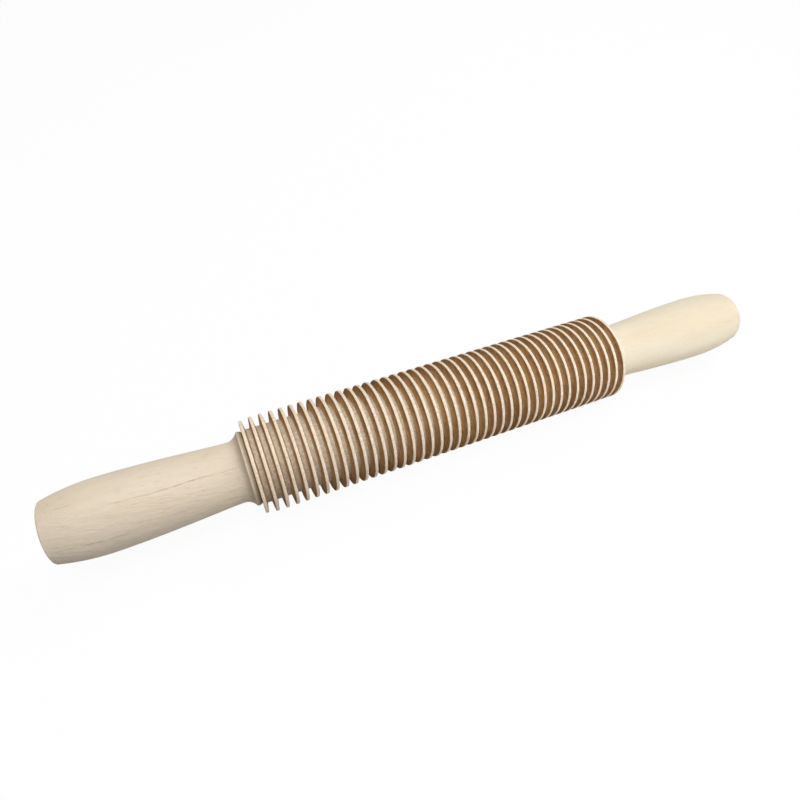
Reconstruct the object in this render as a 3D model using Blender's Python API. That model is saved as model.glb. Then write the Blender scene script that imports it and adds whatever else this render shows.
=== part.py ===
"""Pasta cutter rolling pin with a revolving roller.

The pin lies along X, with its left handle towards -X and its right handle
towards +X. The origin is the middle of the roller's axis, +Z is up, and
lengths are in metres. The grooved roller turns on a steel rod, and a nut at
each end of the rod clamps a handle against a washer on the rod's shoulder.
"""

import math

import bmesh
import bpy
from mathutils import Vector
from mathutils.geometry import interpolate_bezier

# Cutting roller
DISC_COUNT = 41
DISC_PITCH = 0.0042
RIM_WIDTH = 0.0012
CORE_RADIUS = 0.0156
GROOVE_DEPTH = 0.0045

# Handles, measured along the axis from the face beside the roller
LAND_WIDTH = 0.0026
FLARE_LENGTH = 0.0058
FLARE_TOE = 0.0018
NECK_RADIUS = 0.01265
NECK_TO_BELLY = 0.0477
NECK_EASE = 0.0062
BELLY_RADIUS = 0.0149
BELLY_EASE = 0.0205
BELLY_TO_END = 0.0201
END_RADIUS = 0.0125
END_ROUND = 0.0006

# Axle rod and its threaded ends
ROD_RADIUS = 0.0040
THREAD_RADIUS = 0.0030
THREAD_SPARE = 0.0020
ROD_CHAMFER = 0.0005

# Bushes in the roller's ends
BUSH_WALL = 0.0022
BUSH_LENGTH = 0.0130
FLANGE_OVERHANG = 0.0030
FLANGE_THICKNESS = 0.0020
ROD_ROOM = 0.0008

# Washers and nuts
THRUST_THICKNESS = 0.0015
NUT_WASHER_RADIUS = 0.0070
NUT_WASHER_THICKNESS = 0.0012
NUT_FLATS = 0.0100
NUT_HEIGHT = 0.0050
NUT_CHAMFER = 0.0006

# End plugs
PLUG_LENGTH = 0.0120
PLUG_CHAMFER = 0.0004
END_SPACE = 0.0032

# Clearances
FIT_GAP = 0.0003
RUNNING_GAP = 0.0003
SEAM_GAP = 0.0004

# Sides of the round pieces
ROLLER_SIDES = 24
FLAT_HOLLOW = 0.00005
HANDLE_SIDES = 32
SMALL_SIDES = 24
NUT_SIDES = 6
SHARP_ANGLE = math.radians(35)

# Sizes that follow from the ones above
CUTTING_RADIUS = CORE_RADIUS + GROOVE_DEPTH
ROLLER_HALF = ((DISC_COUNT - 1) * DISC_PITCH + RIM_WIDTH) / 2
BUSH_BORE = ROD_RADIUS + RUNNING_GAP
BUSH_RADIUS = BUSH_BORE + BUSH_WALL
FLANGE_RADIUS = BUSH_RADIUS + FLANGE_OVERHANG
THRUST_RADIUS = FLANGE_RADIUS
THREAD_HOLE = THREAD_RADIUS + FIT_GAP
COUNTERBORE_RADIUS = NUT_WASHER_RADIUS + FIT_GAP
HANDLE_LENGTH = LAND_WIDTH + FLARE_LENGTH + NECK_TO_BELLY + BELLY_TO_END

# Places along the axis, from the middle of the roller outwards
THRUST_START = ROLLER_HALF + RUNNING_GAP
SHOULDER = THRUST_START - FIT_GAP
HANDLE_START = ROLLER_HALF + SEAM_GAP
THRUST_SEAT = THRUST_START + THRUST_THICKNESS + FIT_GAP
HANDLE_END = HANDLE_START + HANDLE_LENGTH
PLUG_START = HANDLE_END - PLUG_LENGTH
ROD_END = PLUG_START - END_SPACE
NUT_START = ROD_END - THREAD_SPARE - NUT_HEIGHT
NUT_WASHER_START = NUT_START - FIT_GAP - NUT_WASHER_THICKNESS
NUT_SEAT = NUT_WASHER_START - FIT_GAP

# Colour, roughness and metallic value of each stuff
BEECH = ((0.75, 0.66, 0.52), 0.62, 0.0)
PALE_BEECH = ((0.78, 0.70, 0.56), 0.60, 0.0)
STEEL = ((0.60, 0.60, 0.61), 0.32, 1.0)
NYLON = ((0.86, 0.85, 0.81), 0.45, 0.0)


def clear_scene():
    """Remove every object that is already in the file."""
    for item in list(bpy.data.objects):
        bpy.data.objects.remove(item, do_unlink=True)


def stuff(name, look):
    """Make one material from a colour, a roughness and a metallic value."""
    colour, roughness, metallic = look
    made = bpy.data.materials.new(name)
    made.use_nodes = True
    shader = made.node_tree.nodes["Principled BSDF"]
    shader.inputs["Base Color"].default_value = (*colour, 1.0)
    shader.inputs["Roughness"].default_value = roughness
    shader.inputs["Metallic"].default_value = metallic
    return made


def turned_mesh(name, outer, bore, sides, flats_touch_radius=False):
    """Turn an outline about X, as on a lathe.

    outer runs from left to right along the outside, and bore from left to
    right along the hole, or is empty in a solid piece. Both hold (x, radius)
    points. A bore's flats touch its radius, so it is nowhere tighter than
    stated, and an outside's corners do, unless flats_touch_radius is set.
    One flat faces straight down.
    """
    to_corner = 1 / math.cos(math.pi / sides)
    outer_scale = to_corner if flats_touch_radius else 1.0
    outline = [(x, radius * outer_scale) for x, radius in outer]
    outline += [(x, radius * to_corner) for x, radius in reversed(bore)]
    if not bore:
        outline.append((outer[-1][0], 0.0))
        outline.append((outer[0][0], 0.0))
    half_step = math.pi / sides
    across = Vector((0.0, math.sin(half_step), -math.cos(half_step)))
    shape = bmesh.new()
    corners = [shape.verts.new(Vector((x, 0.0, 0.0)) + across * radius) for x, radius in outline]
    edges = [shape.edges.new(pair) for pair in zip(corners, corners[1:] + corners[:1])]
    bmesh.ops.spin(shape, geom=corners + edges, cent=(0, 0, 0), axis=(1, 0, 0), dvec=(0, 0, 0),
                   angle=2 * math.pi, steps=sides, use_merge=True)
    bmesh.ops.remove_doubles(shape, verts=shape.verts, dist=1e-6)
    bmesh.ops.recalc_face_normals(shape, faces=shape.faces)
    mesh = bpy.data.meshes.new(name)
    shape.to_mesh(mesh)
    shape.free()
    mesh.shade_smooth()
    mesh.set_sharp_from_angle(angle=SHARP_ANGLE)
    return mesh


def empty(name, parent=None):
    """Make an empty at the origin, on the pin's axis."""
    made = bpy.data.objects.new(name, None)
    bpy.context.scene.collection.objects.link(made)
    made.parent = parent
    return made


def piece(name, mesh, look, parent, x=0.0, turned_round=False):
    """Place one piece on the axis at x, or at -x and turned end for end."""
    own_mesh = mesh.copy()
    own_mesh.name = name
    own_mesh.materials.append(stuff(name, look))
    made = bpy.data.objects.new(name, own_mesh)
    bpy.context.scene.collection.objects.link(made)
    made.parent = parent
    made.location.x = -x if turned_round else x
    made.rotation_euler.z = math.pi if turned_round else 0.0
    return made


def pair(name, mesh, look, parent, x):
    """Place the same piece at both ends of the pin."""
    return [
        piece("left_" + name, mesh, look, parent, x, turned_round=True),
        piece("right_" + name, mesh, look, parent, x),
    ]


def curve_points(start, start_control, end_control, end, count):
    """Points along a Bezier curve, without its first one."""
    knots = [Vector((*point, 0.0)) for point in (start, start_control, end_control, end)]
    return [(point.x, point.y) for point in interpolate_bezier(*knots, count + 1)[1:]]


def roller_outer():
    """Outline of the roller's discs and of the grooves between them."""
    points = []
    for disc in range(DISC_COUNT):
        left = disc * DISC_PITCH - ROLLER_HALF
        right = left + RIM_WIDTH
        rim = [(left, CUTTING_RADIUS), (right, CUTTING_RADIUS)]
        if disc > 0:
            rim.insert(0, (left, CORE_RADIUS))
        if disc < DISC_COUNT - 1:
            rim.append((right, CORE_RADIUS))
        points += rim
    return points


def roller_bore():
    """Outline of the roller's through bore, with a stepped seat for a bush at each end."""
    flange_seat = ROLLER_HALF - FLANGE_THICKNESS - FIT_GAP
    bush_seat = ROLLER_HALF - FLANGE_THICKNESS - BUSH_LENGTH - FIT_GAP
    right_half = [
        (bush_seat, ROD_RADIUS + ROD_ROOM),
        (bush_seat, BUSH_RADIUS + FIT_GAP),
        (flange_seat, BUSH_RADIUS + FIT_GAP),
        (flange_seat, FLANGE_RADIUS + FIT_GAP),
        (ROLLER_HALF, FLANGE_RADIUS + FIT_GAP),
    ]
    left_half = [(-x, radius) for x, radius in reversed(right_half)]
    return left_half + right_half


def handle_outer():
    """Outline of a handle: land, concave flare, swelling grip and rounded end."""
    neck = LAND_WIDTH + FLARE_LENGTH
    belly = neck + NECK_TO_BELLY
    taper_end = HANDLE_LENGTH - END_ROUND
    toe = (LAND_WIDTH + FLARE_TOE, NECK_RADIUS)
    points = [(0.0, CORE_RADIUS), (LAND_WIDTH, CORE_RADIUS)]
    points += curve_points((LAND_WIDTH, CORE_RADIUS), toe, toe, (neck, NECK_RADIUS), 5)
    points += curve_points((neck, NECK_RADIUS), (neck + NECK_EASE, NECK_RADIUS),
                           (belly - BELLY_EASE, BELLY_RADIUS), (belly, BELLY_RADIUS), 8)
    steps = 5
    for step in range(1, steps + 1):
        along = step / steps
        radius = BELLY_RADIUS - (BELLY_RADIUS - END_RADIUS) * along ** 2
        points.append((belly + (taper_end - belly) * along, radius))
    points.append((HANDLE_LENGTH, END_RADIUS - END_ROUND))
    return points


def handle_bore():
    """Outline of a handle's bore: washer seat, thread hole and nut counterbore."""
    thrust_seat = THRUST_SEAT - HANDLE_START
    nut_seat = NUT_SEAT - HANDLE_START
    return [
        (0.0, THRUST_RADIUS + FIT_GAP),
        (thrust_seat, THRUST_RADIUS + FIT_GAP),
        (thrust_seat, THREAD_HOLE),
        (nut_seat, THREAD_HOLE),
        (nut_seat, COUNTERBORE_RADIUS),
        (HANDLE_LENGTH, COUNTERBORE_RADIUS),
    ]


def rod_outer():
    """Outline of the rod, with a shoulder and a chamfered thread at each end."""
    right_half = [
        (SHOULDER, ROD_RADIUS),
        (SHOULDER, THREAD_RADIUS),
        (ROD_END - ROD_CHAMFER, THREAD_RADIUS),
        (ROD_END, THREAD_RADIUS - ROD_CHAMFER),
    ]
    left_half = [(-x, radius) for x, radius in reversed(right_half)]
    return left_half + right_half


def hollow_lowest_flat(mesh):
    """Hollow the rims' lowest flat a little, so that the roller stands on that flat's two long sides."""
    shape = bmesh.new()
    shape.from_mesh(mesh)
    everything = shape.verts[:] + shape.edges[:] + shape.faces[:]
    bmesh.ops.bisect_plane(shape, geom=everything, dist=1e-7, plane_co=(0, 0, 0), plane_no=(0, 1, 0))
    for vert in shape.verts:
        if abs(vert.co.y) < 1e-6 and vert.co.z < 1e-6 - CUTTING_RADIUS:
            vert.co.z += FLAT_HOLLOW
    shape.to_mesh(mesh)
    shape.free()
    mesh.shade_smooth()
    mesh.set_sharp_from_angle(angle=SHARP_ANGLE)


def washer_mesh(name, radius, thickness):
    """A flat washer that starts at x = 0 and fits over the rod's thread."""
    outer = [(0.0, radius), (thickness, radius)]
    bore = [(0.0, THREAD_HOLE), (thickness, THREAD_HOLE)]
    return turned_mesh(name, outer, bore, SMALL_SIDES)


def bush_mesh():
    """A flanged bush whose flange's outer face is at x = 0."""
    flange_back = -FLANGE_THICKNESS
    inner_end = flange_back - BUSH_LENGTH
    outer = [
        (inner_end, BUSH_RADIUS),
        (flange_back, BUSH_RADIUS),
        (flange_back, FLANGE_RADIUS),
        (0.0, FLANGE_RADIUS),
    ]
    bore = [(inner_end, BUSH_BORE), (0.0, BUSH_BORE)]
    return turned_mesh("bush", outer, bore, SMALL_SIDES)


def nut_blank_mesh():
    """A round nut blank with both ends chamfered, before its flats are cut."""
    corner_radius = NUT_FLATS / 2 / math.cos(math.pi / NUT_SIDES)
    face_radius = NUT_FLATS / 2 - FIT_GAP
    blank_radius = corner_radius + FIT_GAP
    outer = [
        (0.0, face_radius),
        (NUT_CHAMFER, blank_radius),
        (NUT_HEIGHT - NUT_CHAMFER, blank_radius),
        (NUT_HEIGHT, face_radius),
    ]
    bore = [(0.0, THREAD_HOLE), (NUT_HEIGHT, THREAD_HOLE)]
    return turned_mesh("nut_blank", outer, bore, SMALL_SIDES)


def hexagon_bar(parent):
    """A bar along the whole axis that gives both nuts their flats."""
    reach = HANDLE_END
    outer = [(-reach, NUT_FLATS / 2), (reach, NUT_FLATS / 2)]
    mesh = turned_mesh("hexagon_bar", outer, [], NUT_SIDES, flats_touch_radius=True)
    made = bpy.data.objects.new("hexagon_bar", mesh)
    bpy.context.scene.collection.objects.link(made)
    made.parent = parent
    made.hide_render = True
    made.display_type = "WIRE"
    return made


def cut_flats(nut, bar):
    """Leave only what the nut blank shares with the hexagon bar."""
    cut = nut.modifiers.new("flats", "BOOLEAN")
    cut.operation = "INTERSECT"
    cut.solver = "EXACT"
    cut.object = bar


def plug_mesh():
    """A plug that starts at x = 0 and ends flush with the handle."""
    radius = COUNTERBORE_RADIUS - FIT_GAP
    outer = [
        (0.0, radius - PLUG_CHAMFER),
        (PLUG_CHAMFER, radius),
        (PLUG_LENGTH, radius),
    ]
    return turned_mesh("plug", outer, [], SMALL_SIDES)


def build_roller(roller_axis):
    """The beech roller and the bushes pressed into its ends."""
    roller = turned_mesh("roller", roller_outer(), roller_bore(), ROLLER_SIDES, flats_touch_radius=True)
    hollow_lowest_flat(roller)
    piece("cutting_roller", roller, BEECH, roller_axis)
    pair("bush", bush_mesh(), NYLON, roller_axis, ROLLER_HALF)


def build_handles(pin_axis):
    """The rod, and the handles with what clamps them to it."""
    piece("axle_rod", turned_mesh("rod", rod_outer(), [], SMALL_SIDES), STEEL, pin_axis)
    handle = turned_mesh("handle", handle_outer(), handle_bore(), HANDLE_SIDES)
    pair("handle", handle, PALE_BEECH, pin_axis, HANDLE_START)
    thrust = washer_mesh("thrust_washer", THRUST_RADIUS, THRUST_THICKNESS)
    pair("thrust_washer", thrust, STEEL, pin_axis, THRUST_START)
    nut_washer = washer_mesh("nut_washer", NUT_WASHER_RADIUS, NUT_WASHER_THICKNESS)
    pair("nut_washer", nut_washer, STEEL, pin_axis, NUT_WASHER_START)
    bar = hexagon_bar(pin_axis)
    for nut in pair("nut", nut_blank_mesh(), STEEL, pin_axis, NUT_START):
        cut_flats(nut, bar)
    pair("end_plug", plug_mesh(), PALE_BEECH, pin_axis, PLUG_START)


def main():
    """Build the whole pin."""
    clear_scene()
    pin_axis = empty("pin_axis")
    roller_axis = empty("roller_axis", pin_axis)
    build_roller(roller_axis)
    build_handles(pin_axis)


main()
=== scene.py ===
"""Looks of a pasta cutter rolling pin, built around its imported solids.

The pin lies along X on a pale floor, with its left handle towards -X, and +Z
is up. Lengths are in metres. A grooved beech roller turns on a steel rod, and
a nut at each end of the rod holds a beech handle. Every piece is turned about
the X axis by Geometry Nodes from an outline of (x, radius) points.
"""

import logging
import math
from dataclasses import dataclass, field
from enum import Enum
from functools import reduce
from typing import Iterable, Optional, Union

import bpy
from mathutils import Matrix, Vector
from mathutils.geometry import interpolate_bezier


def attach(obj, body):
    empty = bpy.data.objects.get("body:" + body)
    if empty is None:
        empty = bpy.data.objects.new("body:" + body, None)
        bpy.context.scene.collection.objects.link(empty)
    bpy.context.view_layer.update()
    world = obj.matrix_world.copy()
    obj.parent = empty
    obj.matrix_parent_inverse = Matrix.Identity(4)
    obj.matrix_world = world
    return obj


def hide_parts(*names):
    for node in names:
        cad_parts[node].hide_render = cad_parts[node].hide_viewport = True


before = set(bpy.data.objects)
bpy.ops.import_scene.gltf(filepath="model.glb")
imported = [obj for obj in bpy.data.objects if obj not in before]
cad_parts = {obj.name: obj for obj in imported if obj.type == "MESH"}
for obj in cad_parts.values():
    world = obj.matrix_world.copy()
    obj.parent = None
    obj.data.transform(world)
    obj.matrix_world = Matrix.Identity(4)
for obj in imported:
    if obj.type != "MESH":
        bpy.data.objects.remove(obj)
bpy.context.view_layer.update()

log = logging.getLogger("rolling_pin")

Socket = bpy.types.NodeSocket
Feed = Union[Socket, float, int, bool, tuple, bpy.types.Material]
Colour = tuple[float, float, float]
Place = tuple[float, float, float]
Point = tuple[float, float]
Pair = tuple[float, float]

WHITE: Colour = (1.0, 1.0, 1.0)


class Side(Enum):
    """The two ends of the pin."""

    LEFT = -1
    RIGHT = 1

    @property
    def word(self) -> str:
        """The side's name as it stands in a piece's name."""
        return self.name.lower()


class Body(Enum):
    """The two bodies that the joint joins."""

    HANDLES = "handles"
    ROLLER = "roller"


def seen_colour(*channels: int) -> Colour:
    """Turn a colour as a screen shows it into linear light.

    Args:
        channels: Red, green and blue on a screen, 0 to 255.

    Returns:
        The linear colour, 0 to 1.
    """
    shares = [channel / 255 for channel in channels]
    return tuple(share / 12.92 if share <= 0.04045 else ((share + 0.055) / 1.055) ** 2.4 for share in shares)


@dataclass(frozen=True)
class Pattern:
    """A noise, and how far it is stretched along and across the grain."""

    scale: Feed = 1.0
    stretch: Optional[Pair] = None
    detail: float = 2.0
    roughness: float = 0.5
    shift: float = 0.0


class Wiring:
    """Places nodes in one tree and joins their sockets."""

    MIX_FIRST, MIX_SECOND, MIX_RESULT = 6, 7, 2

    def __init__(self, tree: bpy.types.NodeTree) -> None:
        """Start on an emptied tree."""
        self.tree = tree
        tree.nodes.clear()

    def feed(self, socket: Socket, value: Feed) -> None:
        """Join a socket to another one, or set its own value.

        Args:
            socket: The input to fill.
            value: An output socket, or a plain value.
        """
        if isinstance(value, bpy.types.NodeSocket):
            self.tree.links.new(value, socket)
        elif socket.type == "RGBA" and len(value) == 3:
            socket.default_value = (*value, 1.0)
        else:
            socket.default_value = value

    def node(self, kind: str, feeds: Optional[dict] = None, **settings: object) -> bpy.types.Node:
        """Add one node.

        Args:
            kind: The node type.
            feeds: What goes into each input, by the input's name or number.
            settings: The node's own properties.

        Returns:
            The new node.
        """
        made = self.tree.nodes.new(kind)
        for name, value in settings.items():
            setattr(made, name, value)
        for key, value in (feeds or {}).items():
            self.feed(made.inputs[key], value)
        return made

    def math(self, operation: str, *values: Feed) -> Socket:
        """Add a Math node with these inputs in order and give back its result."""
        return self.node("ShaderNodeMath", dict(enumerate(values)), operation=operation).outputs[0]

    def product(self, *values: Feed) -> Socket:
        """Multiply numbers in order."""
        return reduce(lambda first, second: self.math("MULTIPLY", first, second), values)

    def hypotenuse(self, first: Socket, second: Socket) -> Socket:
        """The distance that two distances at right angles make."""
        squares = self.math("ADD", self.product(first, first), self.product(second, second))
        return self.math("SQRT", squares)

    def smooth_step(self, value: Feed, low: Feed, high: Feed, start: Feed = 0.0, end: Feed = 1.0) -> Socket:
        """Add a Map Range node that eases between two results.

        Args:
            value: The number to map.
            low: Where the change begins.
            high: Where the change ends.
            start: The result at low.
            end: The result at high.

        Returns:
            The mapped number.
        """
        feeds = {"Value": value, "From Min": low, "From Max": high, "To Min": start, "To Max": end}
        return self.node("ShaderNodeMapRange", feeds, interpolation_type="SMOOTHSTEP").outputs[0]

    def joined(self, x: Feed, y: Feed, z: Feed) -> Socket:
        """Add a vector made of three numbers and give it back."""
        return self.node("ShaderNodeCombineXYZ", {0: x, 1: y, 2: z}).outputs[0]

    def split(self, vector: Socket) -> tuple[Socket, Socket, Socket]:
        """Add a node that splits a vector and give back its three numbers."""
        outputs = self.node("ShaderNodeSeparateXYZ", {0: vector}).outputs
        return (outputs[0], outputs[1], outputs[2])

    def noise(self, vector: Socket, pattern: Pattern, seed: Feed) -> Socket:
        """Add a noise with a fixed seed.

        Args:
            vector: Where it is read.
            pattern: How fine and how rough it is.
            seed: Its place on the fourth axis.

        Returns:
            The noise, about 0.5 on average.
        """
        feeds = {"Vector": vector, "W": seed, "Scale": pattern.scale, "Detail": pattern.detail,
                 "Roughness": pattern.roughness}
        return self.node("ShaderNodeTexNoise", feeds, noise_dimensions="4D").outputs[0]

    def mixed(self, share: Feed, first: Feed, second: Feed, blend: str = "MIX") -> Socket:
        """Add a colour mix.

        Args:
            share: How much of the second colour is taken.
            first: The first colour.
            second: The second colour.
            blend: How the two are laid over each other.

        Returns:
            The mixed colour.
        """
        feeds = {0: share, self.MIX_FIRST: first, self.MIX_SECOND: second}
        made = self.node("ShaderNodeMix", feeds, data_type="RGBA", blend_type=blend)
        return made.outputs[self.MIX_RESULT]

    def toned(self, colour: Feed, level: Socket) -> Socket:
        """Make a colour darker or lighter by a level about 1."""
        return self.mixed(1.0, colour, self.joined(level, level, level), "MULTIPLY")

    def tinted(self, colour: Socket, share: Socket, tint: Colour) -> Socket:
        """Multiply a share of a surface by a tint."""
        return self.mixed(1.0, colour, self.mixed(share, WHITE, tint), "MULTIPLY")


class Surface(Wiring):
    """The nodes of one material, and the place on the piece that they colour."""

    CLOUD_RANGE: Pair = (0.3, 0.7)
    WEAR_RANGE: Pair = (0.2, 0.8)

    def __init__(self, name: str) -> None:
        """Make the material.

        Args:
            name: The material's name.
        """
        self.material = bpy.data.materials.new(name)
        self.material.use_nodes = True
        super().__init__(self.material.node_tree)
        self.place = self.node("ShaderNodeTexCoord").outputs["Object"]

    def stretched(self, vector: Socket, along: float, across: float) -> Socket:
        """Stretch a place along X and across it."""
        feeds = {0: vector, 1: (along, across, across)}
        return self.node("ShaderNodeVectorMath", feeds, operation="MULTIPLY").outputs[0]

    def seen(self, pattern: Pattern, seed: float, vector: Optional[Socket] = None) -> Socket:
        """Read a pattern at the place on the piece.

        Args:
            pattern: The noise.
            seed: The finish's seed, to which the pattern's own shift is added.
            vector: Another place to read it at.

        Returns:
            The noise, about 0.5 on average.
        """
        vector = vector or self.place
        if pattern.stretch:
            vector = self.stretched(vector, *pattern.stretch)
        return self.noise(vector, pattern, seed + pattern.shift)

    def finished(self, colour: Socket, rough: Socket, height: Socket, bump: Pair,
                 constants: dict[str, float]) -> bpy.types.Material:
        """End the material with a shader and a bump.

        Args:
            colour: The surface's colour.
            rough: Its roughness.
            height: The height of its relief.
            bump: The bump's strength, and its depth in metres for a height of 1.
            constants: Values of the shader's own sockets.

        Returns:
            The material.
        """
        relief = self.node("ShaderNodeBump", {"Height": height, "Strength": bump[0], "Distance": bump[1]})
        feeds = {"Base Color": colour, "Roughness": rough, "Normal": relief.outputs[0]}
        shader = self.node("ShaderNodeBsdfPrincipled", feeds)
        for name, value in constants.items():
            shader.inputs[name].default_value = value
        self.node("ShaderNodeOutputMaterial", {"Surface": shader.outputs[0]})
        return self.material


@dataclass(frozen=True)
class GrainLine:
    """A single darker line in the wood that runs along a handle, its angles in degrees."""

    from_x: float
    from_angle: float
    to_x: float
    to_angle: float
    width: float
    strength: float


@dataclass(frozen=True)
class BeechFinish:
    """Bare turned beech: long grain on the turned sides, end grain on cut ends."""

    name: str
    pale: Colour
    warm: Colour
    fleck: Colour
    end_pale: Colour
    end_brown: Colour
    fleck_share: float = 0.10
    fleck_strength: float = 0.45
    fibre_strength: float = 0.05
    fuzz_strength: float = 0.0
    torn_strength: float = 0.0
    torn_radius: float = 0.0
    # A grey tint that darkens the groove floors.
    groove_floor_tint: Colour = WHITE
    # Painted light that brightens end grain near the roller's core, deep in the grooves.
    painted_root_light: Colour = WHITE
    cut_tint: Colour = WHITE
    # Painted shade on a handle's land where the roller's first disc shades it.
    painted_seam_shade: Colour = WHITE
    ring_strength: float = 0.02
    relief: float = 0.00012
    wave_relief: float = 0.0
    lines: tuple[GrainLine, ...] = ()
    seed: float = 1.0

    def long_grain(self) -> bpy.types.Material:
        """Make the finish of the turned sides."""
        return BeechSurface(self, "long_grain").long_grain()

    def end_grain(self) -> bpy.types.Material:
        """Make the finish of faces cut across the grain."""
        return BeechSurface(self, "end_grain").end_grain()


class BeechSurface(Surface):
    """The nodes of a beech finish."""

    FIBRES = Pattern(stretch=(190.0, 1500.0), detail=4.0, roughness=0.6)
    BROAD = Pattern(stretch=(18.0, 90.0), detail=3.0, shift=11.0)
    BROAD_RANGE: Pair = (0.3, 0.72)
    TONE_RANGE: Pair = (0.25, 0.75)
    TORN = Pattern(scale=1050.0, detail=3.0, roughness=0.6, shift=23.0)
    TORN_BAND = 0.0004
    CUT_STREAKS = 0.16
    CUT_RANGE: Pair = (0.43, 1.03)
    # Where the painted shade on a handle's land fades in towards the roller.
    PAINTED_SEAM_SHADE_RANGE: Pair = (0.0867, 0.0853)
    # Where the painted light on the disc sides fades in towards the core.
    PAINTED_ROOT_LIGHT_RANGE: Pair = (0.0192, 0.0168)

    RING_SWAY = Pattern(stretch=(12.0, 40.0), shift=7.0)
    RING_SWAY_REACH = 0.004
    RING_HEART: Point = (0.031, -0.047)
    RING_HEART_STEP = 0.003
    RING_SPACING = 0.0035
    RING_SHARPNESS = 3.0

    WAVES = Pattern(stretch=(95.0, 640.0), detail=3.0, roughness=0.55, shift=31.0)
    WAVE_SWAY = Pattern(scale=130.0, shift=29.0)
    WAVE_SWAY_REACH = 0.0022
    WAVE_LEAN = 0.12

    FLECK_STRETCH: Pair = (210.0, 2900.0)
    FLECK_SPREAD = Pattern(scale=110.0, shift=19.0)
    FLECK_SPREAD_RANGE: Pair = (0.38, 0.68)
    FLECK_FEWEST = 0.25
    FLECK_MOST = 1.8
    FLECK_EDGE: Pair = (0.48, 0.15)
    FLECK_FAINTEST = 0.3
    FLECK_DEPTH = 0.6

    LINE_SWAY = Pattern(stretch=(90.0, 0.0))
    LINE_SWAY_DEGREES = 4.0
    LINE_RADIUS = 0.0140
    LINE_CORE = 0.2
    LINE_RUN_OUT = 0.35
    LINE_BREAKS = Pattern(stretch=(420.0, 2600.0), roughness=0.6)
    LINE_BREAK_RANGE: Pair = (0.36, 0.58)
    LINE_BROKEN = 0.2

    MOTTLE = Pattern(scale=420.0, detail=5.0, roughness=0.65)
    MOTTLE_SHARE = 1.1
    END_CLOUDS = Pattern(scale=60.0, shift=3.0)
    END_CLOUD_SHARE = 0.7
    END_RING_SHARE = 0.25
    END_RANGE: Pair = (0.65, 1.35)
    PORE_STRETCH: Pair = (300.0, 2400.0)
    PORE_EDGE: Pair = (0.12, 0.42)
    PORE_STRENGTH = 0.4
    END_RELIEF = 0.00008

    LONG_ROUGHNESS = 0.62
    LONG_IOR = 1.36
    END_ROUGHNESS = 0.85
    END_IOR = 1.2
    ROUGHER = 0.08
    SMOOTHER = 0.05

    def __init__(self, finish: BeechFinish, grain: str) -> None:
        """Make the material.

        Args:
            finish: The beech.
            grain: Which of its two finishes this is, as it stands in the name.
        """
        super().__init__(f"{finish.name}_{grain}")
        self.finish = finish
        self.x, self.y, self.z = self.split(self.place)
        self.radius = self.hypotenuse(self.y, self.z)

    def long_grain(self) -> bpy.types.Material:
        """Colour the turned sides: fibres, faint rings and short dark flecks along X, and painted shade on a
        handle's land beside the roller.

        Returns:
            The material.
        """
        finish = self.finish
        fibres = self.seen(self.FIBRES, finish.seed)
        colour = self._varied(self._ground(), fibres, finish.fibre_strength)
        inner = self.smooth_step(self.radius, finish.torn_radius + self.TORN_BAND, finish.torn_radius)
        strength = self.math("MULTIPLY_ADD", inner, finish.torn_strength, finish.fuzz_strength)
        colour = self._varied(colour, self.seen(self.TORN, finish.seed), strength)
        # The groove floors are darkened by a grey tint.
        colour = self.tinted(colour, inner, finish.groove_floor_tint)
        facing = self.split(self.node("ShaderNodeNewGeometry").outputs["Normal"])[0]
        facing = self.math("MULTIPLY_ADD", fibres, self.CUT_STREAKS, self.math("ABSOLUTE", facing))
        colour = self.tinted(colour, self.smooth_step(facing, *self.CUT_RANGE), finish.cut_tint)
        # Painted shade: the land beside the roller's first disc is darkened where the disc shades it.
        seam = self.smooth_step(self.math("ABSOLUTE", self.x), *self.PAINTED_SEAM_SHADE_RANGE)
        colour = self.tinted(colour, seam, finish.painted_seam_shade)
        flecks = self._flecks()
        colour = self.mixed(self.product(flecks, finish.fleck_strength), colour, finish.fleck)
        for line in finish.lines:
            colour = self.mixed(self._line(line), colour, finish.fleck)
        height = self.math("SUBTRACT", fibres, self.product(flecks, self.FLECK_DEPTH))
        height = self.product(height, finish.relief)
        height = self.math("MULTIPLY_ADD", self._waves(), finish.wave_relief, height)
        return self._dull(colour, fibres, height, self.LONG_ROUGHNESS, self.LONG_IOR)

    def end_grain(self) -> bpy.types.Material:
        """Colour faces cut across the grain: browner and mottled, with pores and ring arcs, and painted light
        that brightens the disc sides near the roller's core.

        Returns:
            The material.
        """
        finish = self.finish
        mottle = self.seen(self.MOTTLE, finish.seed)
        clouds = self.seen(self.END_CLOUDS, finish.seed)
        rings = self.product(self._rings(), self.END_RING_SHARE)
        share = self.math("MULTIPLY_ADD", mottle, self.MOTTLE_SHARE, rings)
        share = self.math("MULTIPLY_ADD", clouds, self.END_CLOUD_SHARE, share)
        share = self.smooth_step(share, *self.END_RANGE)
        colour = self.mixed(share, finish.end_pale, finish.end_brown)
        pores = self.smooth_step(self._cells(self.PORE_STRETCH)["Distance"], *self.PORE_EDGE)
        colour = self._varied(colour, pores, self.PORE_STRENGTH)
        # Painted light: the disc sides are lightened near the core, where the grooves would shade them.
        root_light = self.smooth_step(self.radius, *self.PAINTED_ROOT_LIGHT_RANGE)
        colour = self.tinted(colour, root_light, finish.painted_root_light)
        height = self.product(self.math("ADD", pores, mottle), self.END_RELIEF)
        return self._dull(colour, mottle, height, self.END_ROUGHNESS, self.END_IOR)

    def _cells(self, stretch: Pair) -> bpy.types.NodeOutputs:
        """Scattered cells, stretched along and across the grain."""
        place = self.stretched(self.place, *stretch)
        return self.node("ShaderNodeTexVoronoi", {"Vector": place, "Scale": 1.0}).outputs

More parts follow.
